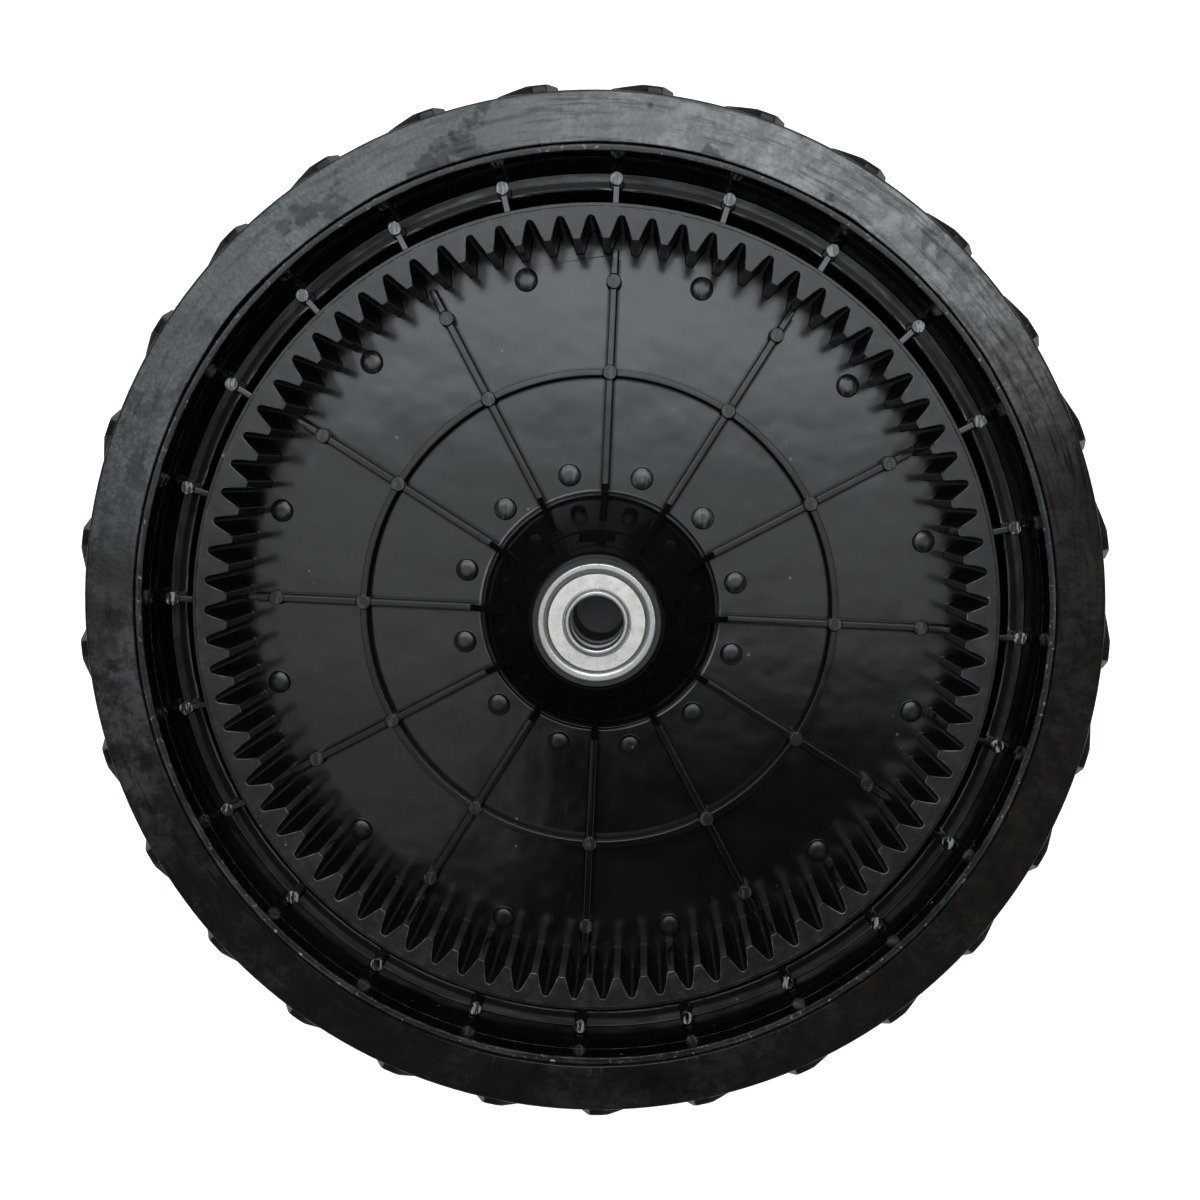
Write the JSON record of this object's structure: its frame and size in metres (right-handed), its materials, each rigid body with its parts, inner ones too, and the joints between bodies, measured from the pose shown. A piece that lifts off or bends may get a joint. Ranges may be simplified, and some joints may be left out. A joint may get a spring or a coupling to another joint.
{
  "type": "lawn mower wheel",
  "caption": "Mower drive wheel: ribbed plastic moulding with an internal ring gear, lugged rubber tyre and flanged ball bearings in the hub for a plain axle.",
  "frame": {"origin": "on the wheel's axis, at the outer flank of the tyre, on which the wheel lies", "axes": "+Z along the axis towards the gear side; +X along one of the web's radial ribs"},
  "size_m": [0.2324, 0.2324, 0.05],
  "materials": {
    "moulded_plastic": "satin black injection moulding",
    "tyre_rubber": "black rubber, dusty in places",
    "race_steel": "bright plated pressed steel",
    "shield_steel": "satin plated sheet steel",
    "ball_steel": "polished",
    "cage_steel": "pressed sheet",
    "spacer_steel": "cut tube"
  },
  "bodies": {
    "axle_core": {"bearing_spacer": "spacer_steel", "gear_side_inner_race": "race_steel", "outer_side_inner_race": "race_steel"},
    "wheel": {"wheel_body": "moulded_plastic", "tyre": "tyre_rubber", "gear_side_outer_race": "race_steel", "gear_side_front_shield": "shield_steel", "gear_side_back_shield": "shield_steel", "outer_side_outer_race": "race_steel", "outer_side_front_shield": "shield_steel", "outer_side_back_shield": "shield_steel"},
    "gear_side_ball_set": {"gear_side_balls": "ball_steel", "gear_side_front_cage": "cage_steel", "gear_side_back_cage": "cage_steel"},
    "outer_side_ball_set": {"outer_side_balls": "ball_steel", "outer_side_front_cage": "cage_steel", "outer_side_back_cage": "cage_steel"}
  },
  "joints": [
    {"name": "wheel_spin", "type": "hinge", "parent": "axle_core", "child": "wheel", "pos_m": [0, 0, 0.02775], "axis": [0, 0, 1], "continuous": true},
    {"name": "gear_side_ball_set_spin", "type": "hinge", "parent": "axle_core", "child": "gear_side_ball_set", "pos_m": [0, 0, 0.0429], "axis": [0, 0, 1], "continuous": true},
    {"name": "outer_side_ball_set_spin", "type": "hinge", "parent": "axle_core", "child": "outer_side_ball_set", "pos_m": [0, 0, 0.0126], "axis": [0, 0, 1], "continuous": true}
  ],
  "couplings": [
    {"joint": "gear_side_ball_set_spin", "follows": "wheel_spin", "ratio": 0.619},
    {"joint": "outer_side_ball_set_spin", "follows": "wheel_spin", "ratio": 0.619}
  ]
}
